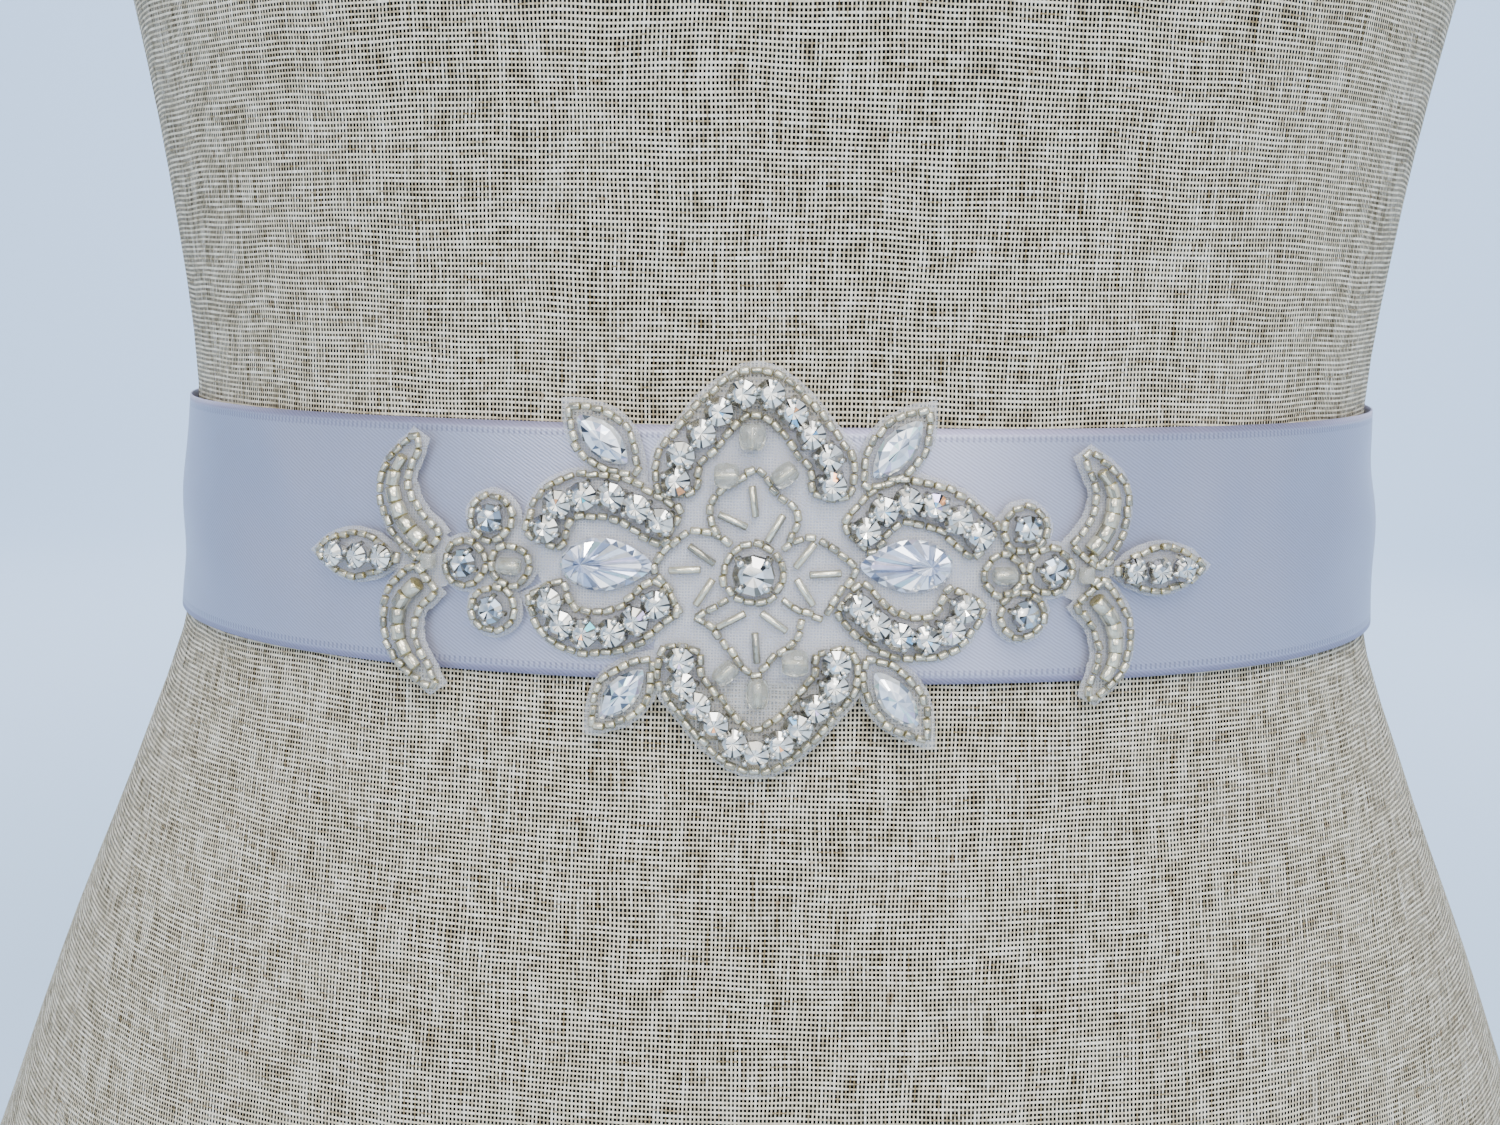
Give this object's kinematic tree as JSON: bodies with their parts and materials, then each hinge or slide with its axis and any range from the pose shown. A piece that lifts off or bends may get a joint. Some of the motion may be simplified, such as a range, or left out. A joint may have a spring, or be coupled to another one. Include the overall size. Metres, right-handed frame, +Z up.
{
  "type": "bridal sash on a dress form",
  "caption": "Satin ribbon bridal sash with a beaded and jewelled front applique, tied at the back round the waist of a limbless linen dress form.",
  "frame": {"origin": "middle of the dress form's flat base, on the surface it stands on", "axes": "+Z up the form towards the neck, +X to the viewer's right of the front, +Y to the back, so the applique faces -Y"},
  "size_m": [0.328, 0.2433, 0.765],
  "materials": {
    "linen": "undyed linen and jute weave, matt, with slubs",
    "satin_ribbon": "silver grey single-face satin ribbon",
    "net": "sheer stiff net, slightly glossy",
    "glass_beads": "silver-lined clear glass beads",
    "crystal": "foil-backed faceted crystal in silver-plated settings"
  },
  "bodies": {
    "root": {"dress_form": "linen", "sash_band": "satin_ribbon", "sash_knot": "satin_ribbon", "sash_tail_left": "satin_ribbon", "sash_tail_right": "satin_ribbon", "applique_net": "net", "arch_top": "glass_beads", "arch_bottom": "glass_beads", "scroll_left_upper": "glass_beads", "scroll_left_lower": "glass_beads", "scroll_right_upper": "glass_beads", "scroll_right_lower": "glass_beads", "arm_left_upper": "glass_beads", "arm_left_lower": "glass_beads", "arm_right_upper": "glass_beads", "arm_right_lower": "glass_beads", "tip_left": "glass_beads", "tip_right": "glass_beads", "leaf_left_upper": "glass_beads", "leaf_left_lower": "glass_beads", "leaf_right_upper": "glass_beads", "leaf_right_lower": "glass_beads", "link_left": "glass_beads", "link_right": "glass_beads", "bead_top_middle": "glass_beads", "bead_top_left": "glass_beads", "bead_top_right": "glass_beads", "bead_bottom_left": "glass_beads", "bead_bottom_middle": "glass_beads", "bead_bottom_right": "glass_beads", "centre_stone": "crystal", "teardrop_left": "crystal", "teardrop_right": "crystal", "crystal_left_upper": "crystal", "crystal_left_middle": "crystal", "crystal_left_lower": "crystal", "crystal_right_upper": "crystal", "crystal_right_middle": "crystal", "crystal_right_lower": "crystal"}
  },
  "joints": []
}
